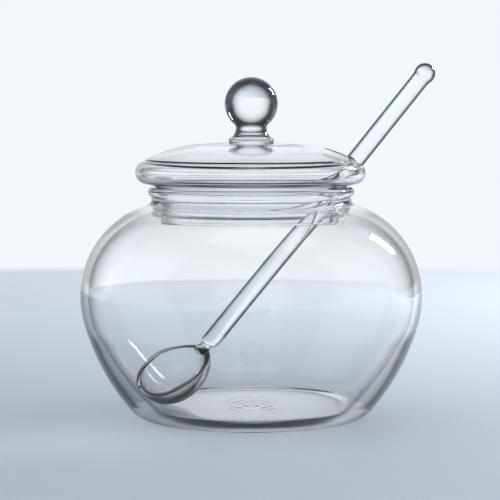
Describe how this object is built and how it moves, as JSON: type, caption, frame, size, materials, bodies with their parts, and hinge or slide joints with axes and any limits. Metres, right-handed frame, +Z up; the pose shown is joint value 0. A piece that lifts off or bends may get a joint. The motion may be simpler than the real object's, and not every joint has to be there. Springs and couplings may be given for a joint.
{
  "type": "sugar jar",
  "caption": "Round clear glass sugar jar with a flat base, a domed lid with a ball knob and a notch, and a glass spoon that leans out through the notch",
  "frame": {"origin": "middle of the jar's flat base, on the surface it stands on", "axes": "+Z up along the jar's turning axis; +X towards the lid's notch and the spoon's handle; +Y to the back"},
  "size_m": [0.114, 0.11, 0.1145],
  "materials": {
    "jar_glass": "clear polished glass",
    "lid_glass": "clear polished glass",
    "spoon_glass": "clear polished glass"
  },
  "bodies": {
    "root": {"jar": "jar_glass", "lid": "lid_glass", "spoon": "spoon_glass"}
  },
  "joints": []
}
